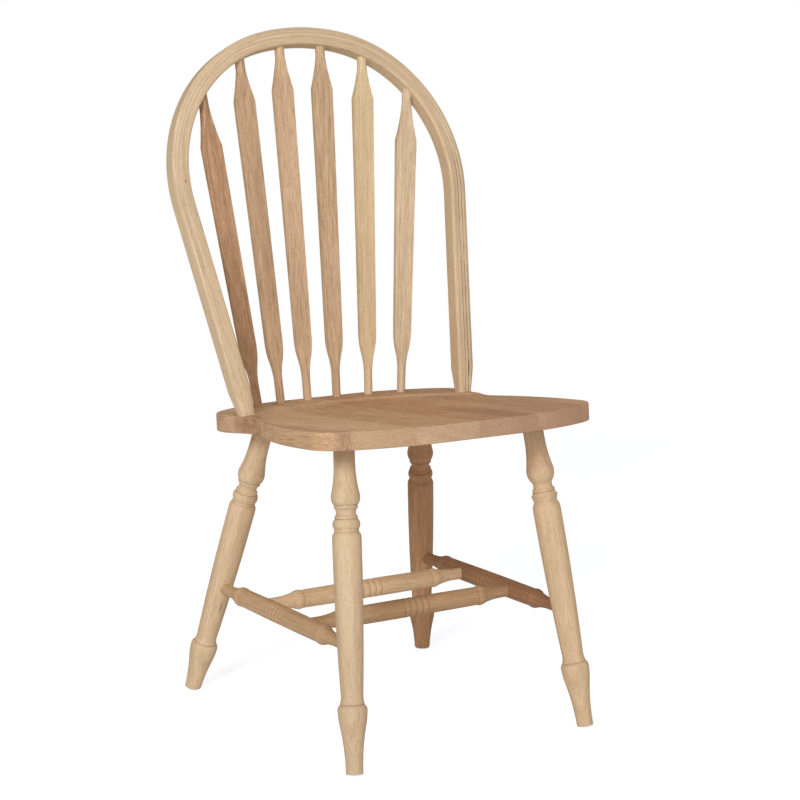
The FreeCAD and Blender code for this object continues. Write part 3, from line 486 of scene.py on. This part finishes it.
stretcher_lines = {}
for word in ("right", "left"):
    rear, front = (leg_lines[end, word] for end in ("rear", "front"))
    ends = [start + axes[2] * (trim + STRETCHER_HEIGHT) for start, axes, trim in (rear, front)]
    stretcher_lines[word] = ends[0], ends[1], (1, 0, 0)
for end, station in CROSS_STATIONS.items():
    crossing = []
    for word in ("right", "left"):
        start, far_end, _ = stretcher_lines[word]
        along = (far_end - start) / np.linalg.norm(far_end - start)
        crossing.append(start + along * station)
    stretcher_lines[end] = crossing[0], crossing[1], (0, 1, 0)

STRETCHERS = {
    "right": ((197, 165, 129), 70.0, 0.0, "side_stretcher_right"),
    "left": ((156, 117, 84), 70.0, 0.0, "side_stretcher_left"),
    "front": ((182, 148, 112), 59.0, 3.4, "cross_stretcher_front"),
    "rear": ((214, 185, 149), 59.0, 0.0, "cross_stretcher_rear"),
}
for number, (word, (tone, bead_inset, shift, node)) in enumerate(STRETCHERS.items()):
    start, far_end, sideways = stretcher_lines[word]
    length = np.linalg.norm(far_end - start) / 2
    profile = stretcher_profile(length, bead_inset, shift)
    rings = turned_rings(profile, 72)
    points = placed((start + far_end) / 2, axes_along(start, far_end, sideways), rings)
    wood = piece_wood(f"{word}_stretcher_wood", tone)
    cut_from = np.array([60.0 * number + 35, 52.0 * number - 30, 700.0 * number])
    stretcher = wrapped_skin(f"{word}_stretcher", node, points, rings + cut_from, wood,
                             recesses(profile))

# Bow. Thin plies of pale wood, bent together over a form with glue between them, then shaped to one
# rounded section, whose thinned feet are glued into the seat. The glue shows as fine dark lines. The
# inmost line is faint, and the inmost piece takes in the wood on both its sides.

BOW_WIDTH, RISE, LEAN, POST = 476.6, 551.2, math.radians(17.7), math.radians(8.4)
SECTION, EDGE, FOOT_WIDE, FOOT_DEEP, FOOT_EDGE, THINNED, BOW_TENON = 25.3, 3.5, 20, 19, 5, 35, 12
SHOULDER_ACROSS, TOP_FLATNESS = 18.4, 83.0
SHOULDER_RADIUS = BOW_WIDTH / 2 - SHOULDER_ACROSS
TOP_RADIUS = SHOULDER_RADIUS + TOP_FLATNESS
TOP_CENTRE = RISE - TOP_RADIUS
SHOULDER_UP = TOP_CENTRE + math.sqrt(TOP_FLATNESS ** 2 - SHOULDER_ACROSS ** 2)
TOP_ANGLE = math.atan2(SHOULDER_ACROSS, SHOULDER_UP - TOP_CENTRE)
BOW_FOOT = seat_point(0.0, 322.6)
# How far in from the outer face the plies meet, half the gap that holds the glue, and for each glue
# line, as a share of the section, how dark it is.
PLY_FACES = SECTION * np.array([0.0, 0.15, 0.35, 0.55, 1.0])
HALF_GLUE = 0.05
GLUE_LINES = {0.15: 0.5, 0.35: 0.75, 0.55: 0.8, 0.75: 0.2}


def bow_place(across, up, deep):
    """A place in the leaning plane of the bow, for whole arrays."""
    return np.stack([across, BOW_FOOT[1] + up * math.sin(LEAN) + deep * math.cos(LEAN),
                     BOW_FOOT[2] + up * math.cos(LEAN) - deep * math.sin(LEAN)], axis=-1)


def bow_middle_line():
    """
    The bow's middle line and its outward direction: a flat arc over the top, a rounder arc at each
    shoulder, and straight posts that run in to the seat and a tenon's length below it. Also how far
    above the seat each place on a post is.
    """
    top = np.linspace(0, TOP_ANGLE, 14)[:-1]
    shoulder = np.linspace(TOP_ANGLE, math.pi / 2 + POST, 66)
    bend = np.concatenate([top, shoulder])
    radius = np.where(bend < TOP_ANGLE, TOP_RADIUS, SHOULDER_RADIUS) - SECTION / 2
    centre = np.where((bend < TOP_ANGLE)[:, None], (0.0, TOP_CENTRE), (SHOULDER_ACROSS, SHOULDER_UP))
    out = np.column_stack([np.sin(bend), np.cos(bend)])
    line = centre + radius[:, None] * out
    run = line[-1, 1] / math.cos(POST)
    thinned = run - np.array([THINNED, 30, 20, 10, 0, -BOW_TENON])
    down = np.concatenate([np.linspace(0, run - THINNED - 1, 18)[1:], thinned])
    post = line[-1] - down[:, None] * np.array([math.sin(POST), math.cos(POST)])
    line = np.vstack([line, post])
    out = np.vstack([out, np.broadcast_to(out[-1], post.shape)])
    above = np.concatenate([np.full(len(bend), run), run - down])
    mirror = (-1, 1)
    return (np.vstack([line[:0:-1] * mirror, line]), np.vstack([out[:0:-1] * mirror, out]),
            np.concatenate([above[:0:-1], above]))


def bow_ply(ply):
    """
    One ply: the part of the rounded section between its two glue faces, carried along the middle
    line. Half the depth at a distance v from the section's middle is that of the flat face, less
    what the rounded corner takes off, and the section shrinks along its thinned end over the seat.
    """
    line, out, above = bow_middle_line()
    full = np.clip(above / THINNED, 0, 1)[:, None]
    wide = FOOT_WIDE + (SECTION - FOOT_WIDE) * full
    deep = FOOT_DEEP + (SECTION - FOOT_DEEP) * full
    edge = FOOT_EDGE + (EDGE - FOOT_EDGE) * full
    outer = np.minimum(SECTION / 2 - PLY_FACES[ply] - (HALF_GLUE if ply else 0), wide / 2)
    inner = np.maximum(SECTION / 2 - PLY_FACES[ply + 1] + (HALF_GLUE if ply < 3 else 0), -wide / 2)
    share = (1 - np.cos(np.linspace(0, math.pi, 15))) / 2
    v = outer + (inner - outer) * share
    beyond = np.clip(np.abs(v) - (wide / 2 - edge), 0, edge)
    half = deep / 2 - edge + np.sqrt(edge ** 2 - beyond ** 2)
    v = np.concatenate([v, v[:, ::-1]], axis=1)
    half = np.concatenate([-half, half[:, ::-1]], axis=1)
    flat = line[:, None] + out[:, None] * v[..., None]
    step = np.hypot(*np.diff(line, axis=0).T)
    travelled = np.concatenate([[0], np.cumsum(step)])[::-1, None]
    grain = np.stack([SECTION / 2 - v, half, np.broadcast_to(travelled, v.shape)], axis=-1)
    return bow_place(flat[..., 0], flat[..., 1], half), grain


def bow_wood(name, tone, cut_from):
    """
    The ply's wood and the glue lines beside it, which are darkest low on the left post, with a knot
    on the right post, and a pit and a crack along the glue on the left one.
    """
    finish = Finish(bpy.data.materials.new(name))
    place = finish.node("ShaderNodeAttribute", "Vector", {}, attribute_name="grain")
    shifted = finish.node("ShaderNodeVectorMath", 0, {0: place, 1: cut_from}, operation="ADD")
    colour, roughness, relief = sawn_wood(finish, shifted, *tones(tone, 0.8), (0.0, 140.0))
    inwards = finish.node("ShaderNodeSeparateXYZ", 0, {0: place})
    from_foot = finish.node("ShaderNodeSeparateXYZ", 2, {0: place})
    glue = sum(abs(inwards - share * SECTION).ramp(0.8, 0.2) * strength
               for share, strength in GLUE_LINES.items())
    patchy = finish.noise(finish.drawn(place, 0.3, 0.0, 1), 0.03, 2.0).ramp(0.35, 0.6)
    line = glue * (0.12 + patchy * 0.14 + from_foot.ramp(420, 350) * (0.45 + patchy * 0.5))
    knot = finish.spot(place, (16.6, -12.6, 1031.0), (1.5, 4.0, 3.2)) * 0.85
    pit = finish.spot(place, (13.9, -12.6, 234.0), (1.1, 4.0, 6.0)) * 0.7
    crack = finish.spot(place, (8.9, -12.6, 44.0), (1.4, 4.0, 28.0)) * 0.95
    marks = line.most(knot).most(pit).most(crack)
    colour = finish.blend(marks, colour, screen_colour(94, 56, 30))
    return finish.surface(colour, roughness, relief - line, 0.00008)


BOW_TONES = [(214, 191, 160), (213, 189, 158), (216, 193, 163), (212, 188, 156)]
for ply, tone in enumerate(BOW_TONES):
    points, grain = bow_ply(ply)
    wood = bow_wood(f"bow_ply_{ply + 1}_wood", tone, (0.0, 60.0 * ply, 900.0 * ply))
    bent = wrapped_skin(f"bent_ply_{ply + 1}", f"bow_ply_{ply + 1}", points, grain, wood)

# Slats. Six arrow slats, each turned first and then sawn flat to about 10 mm between its two necks.
# The lower neck is glued into the seat, and the upper one into the inner plies of the bow. The
# slats come from different boards, so their colours differ.

SLAT_ARC_CENTRE, SLAT_ARC_RADIUS, SLAT_TURN = 153.2, 275.0, math.radians(9.0)
LOWER_NECK, BASE, TIP, UPPER_NECK = 6.2, 13.5, 16.3, 7.0
NECK_TOP, BASE_FROM, HEAD_NECK, FLARE_ARC = 31, 91, 14, 300.0
LOWER_TENON, UPPER_TENON = 12.0, 9.0
# For each slat, from the chair's right: its side, how far off the middle its foot and its head
# stand, the length of its flare, and the tone and contrast of its wood.
SLATS = [
    (-1, 119.9, 168.9, 70.0, (184, 147, 115), 2.2),
    (-1, 73.8, 101.1, 58.0, (195, 165, 134), 1.6),
    (-1, 24.5, 33.6, 60.0, (206, 176, 145), 1.6),
    (1, 24.5, 33.6, 60.0, (196, 168, 136), 1.7),
    (1, 73.8, 101.1, 58.0, (216, 192, 155), 0.9),
    (1, 119.9, 168.9, 70.0, (212, 189, 159), 1.2),
]


def slat_ends(side, foot, head):
    """Where a slat's axis leaves the seat, and where it meets the inside of the bow."""
    low = seat_point(side * foot, SLAT_ARC_CENTRE + math.sqrt(SLAT_ARC_RADIUS ** 2 - foot ** 2))
    crown = (TOP_RADIUS - SECTION) * math.sin(TOP_ANGLE)
    if head < crown:
        up = TOP_CENTRE + math.sqrt((TOP_RADIUS - SECTION) ** 2 - head ** 2)
    else:
        up = SHOULDER_UP + math.sqrt((SHOULDER_RADIUS - SECTION) ** 2 - (head - SHOULDER_ACROSS) ** 2)
    return low, bow_place(np.array(side * head), np.array(up), np.array(0.0))


def slat_rings(length, flare):
    """
    Rings of a slat in its own frame. Its half width follows the arrow outline, and each ring is a
    circle of that radius cut off at the sawn faces: width times cos a, and width times sin a held
    between plus and minus half the thickness.
    """
    foot, base = (LOWER_NECK, NECK_TOP), (BASE, BASE_FROM)
    tip, head = (TIP, length - flare), (UPPER_NECK, length - HEAD_NECK)
    outline = np.vstack([[(LOWER_NECK, -LOWER_TENON), foot], ogee(foot, base, -1, 0.5, 12), [tip],
                         arc(tip, head, FLARE_ARC, -1, 12), [(UPPER_NECK, length + UPPER_TENON)]])
    wide, up = outline[:, :1], outline[:, 1:]
    flat = np.interp(up, [foot[1], base[1], tip[1], head[1]], [6.3, 5.0, 5.0, 7.1])
    corner = np.arcsin(np.clip(flat / wide, 0, math.sin(math.radians(80))))
    side = np.linspace(-1, 1, 15)[None] * corner
    face = corner + np.linspace(0, 1, 14)[None, 1:-1] * (math.pi - 2 * corner)
    angle = np.concatenate([side, face, side + math.pi, face + math.pi], axis=1)
    thick = np.clip(wide * np.sin(angle), -flat, flat)
    return np.stack([wide * np.cos(angle), thick, np.broadcast_to(up, angle.shape)], axis=-1)


for number, (side, foot, head, flare, tone, contrast) in enumerate(SLATS, start=1):
    low, high = slat_ends(side, foot, head)
    turn = SLAT_TURN * side * head / SLATS[0][2]
    axes = axes_along(low, high, (math.cos(turn), -math.sin(turn), 0.0))
    rings = slat_rings(np.linalg.norm(high - low), flare)
    wood = piece_wood(f"slat_{number}_wood", tone, contrast, 0.7, 1.3, (90.0 - 30 * number, 120.0))
    cut_from = np.array([6.0 * number, 3.0 * number, 800.0 * number])
    slat = wrapped_skin(f"arrow_slat_{number}", f"slat_{number}", placed(low, axes, rings),
                        rings + cut_from, wood)

# Stage: a pale floor that keeps the chair's soft shadow and runs out into white, a surround that
# looks white and lights the chair dimly and warmly, and two soft lamps in front: the stronger one
# on the chair's right, and a broader, weaker one near the middle.

across, back = np.meshgrid(np.linspace(-12, 12, 25), np.linspace(-12, 12, 25))
floor_mesh = bpy.data.meshes.new("floor")
count = across.shape[0]
corner = np.arange(count * count).reshape(count, count)
tiles = np.stack([corner[:-1, :-1], corner[:-1, 1:], corner[1:, 1:], corner[1:, :-1]], axis=-1)
floor_points = np.stack([across, back, np.zeros_like(across)], axis=-1).reshape(-1, 3)
floor_mesh.from_pydata(floor_points.tolist(), [], tiles.reshape(-1, 4).tolist())
floor = bpy.data.objects.new("floor", floor_mesh)
bpy.context.scene.collection.objects.link(floor)
floor_finish = Finish(bpy.data.materials.new("white_floor"))
seen = floor_finish.node("ShaderNodeLightPath", "Is Camera Ray", {})
ground = floor_finish.node("ShaderNodeTexCoord", "Object", {})
far = floor_finish.node("ShaderNodeVectorMath", 1, {0: ground}, operation="LENGTH").ramp(0.9, 2.6)
matt = floor_finish.node("ShaderNodeBsdfDiffuse", 0, {"Color": (0.88, 0.88, 0.88, 1.0)})
glow = floor_finish.node("ShaderNodeEmission", 0, {
    "Color": (0.84, 0.91, 1.0, 1.0), "Strength": seen * 0.7})
near_floor = floor_finish.node("ShaderNodeAddShader", 0, {0: matt, 1: glow})
white = floor_finish.node("ShaderNodeEmission", 0, {"Strength": 1.0})
whole = floor_finish.node("ShaderNodeMixShader", 0, {0: far * seen, 1: near_floor, 2: white})
floor_finish.node("ShaderNodeOutputMaterial", 0, {"Surface": whole})
floor_mesh.materials.append(floor_finish.owner)

surround = Finish(bpy.data.worlds.new("white_surround"))
bpy.context.scene.world = surround.owner
seen = surround.node("ShaderNodeLightPath", "Is Camera Ray", {})
tint = surround.blend(seen, (0.38, 0.335, 0.285, 1.0), (1.0, 1.0, 1.0, 1.0))
backdrop = surround.node("ShaderNodeBackground", 0, {"Color": tint})
surround.node("ShaderNodeOutputWorld", 0, {"Surface": backdrop})


def standing(across, up, back, place):
    """The matrix of something that stands at a place, from where its own three directions point."""
    return Matrix(np.column_stack([across, up, back, place]).tolist() + [[0, 0, 0, 1]])


def soft_lamp(name, place, size, power):
    """A square lamp that faces the middle of the chair."""
    light = bpy.data.lights.new(name, "AREA")
    light.size = size
    light.energy = power
    lamp = bpy.data.objects.new(name, light)
    bpy.context.scene.collection.objects.link(lamp)
    axes = axes_along(np.array(place), np.array([0.0, 0.0, 0.5]), (1.0, 0.01, 0.0))
    lamp.matrix_world = standing(axes[0], -axes[1], -axes[2], place)


soft_lamp("right_lamp", (-2.88, -2.25, 2.13), 1.0, 71)
soft_lamp("front_lamp", (-0.6, -3.6, 2.13), 1.6, 40)

# Camera, at the photograph's viewing angle. Focal length and optical centre are in pixels of a
# picture 800 wide and high.

PICTURE, FOCAL, CENTRE_ACROSS, CENTRE_DOWN = 800, 2119.32, 385.44, 425.29
AZIMUTH, ELEVATION, ROLL = math.radians(-31.149), math.radians(10.545), math.radians(-0.337)
AIM, DISTANCE = np.array([0.0, -0.00292, 0.4092]), 2.969
ahead = np.array([-math.sin(AZIMUTH) * math.cos(ELEVATION), math.cos(AZIMUTH) * math.cos(ELEVATION),
                  -math.sin(ELEVATION)])
right = np.cross(ahead, (0, 0, 1))
right /= np.linalg.norm(right)
up = np.cross(right, ahead)
rolled_right = right * math.cos(ROLL) + up * math.sin(ROLL)
rolled_up = up * math.cos(ROLL) - right * math.sin(ROLL)
lens = bpy.data.cameras.new("camera")
lens.sensor_width = 36.0
lens.lens = FOCAL * lens.sensor_width / PICTURE
lens.shift_x = (PICTURE / 2 - CENTRE_ACROSS) / PICTURE
lens.shift_y = (CENTRE_DOWN - PICTURE / 2) / PICTURE
camera = bpy.data.objects.new("camera", lens)
bpy.context.scene.collection.objects.link(camera)
camera.matrix_world = standing(rolled_right, rolled_up, -ahead, AIM - ahead * DISTANCE)
bpy.context.scene.camera = camera
bpy.context.scene.view_settings.view_transform = "Standard"
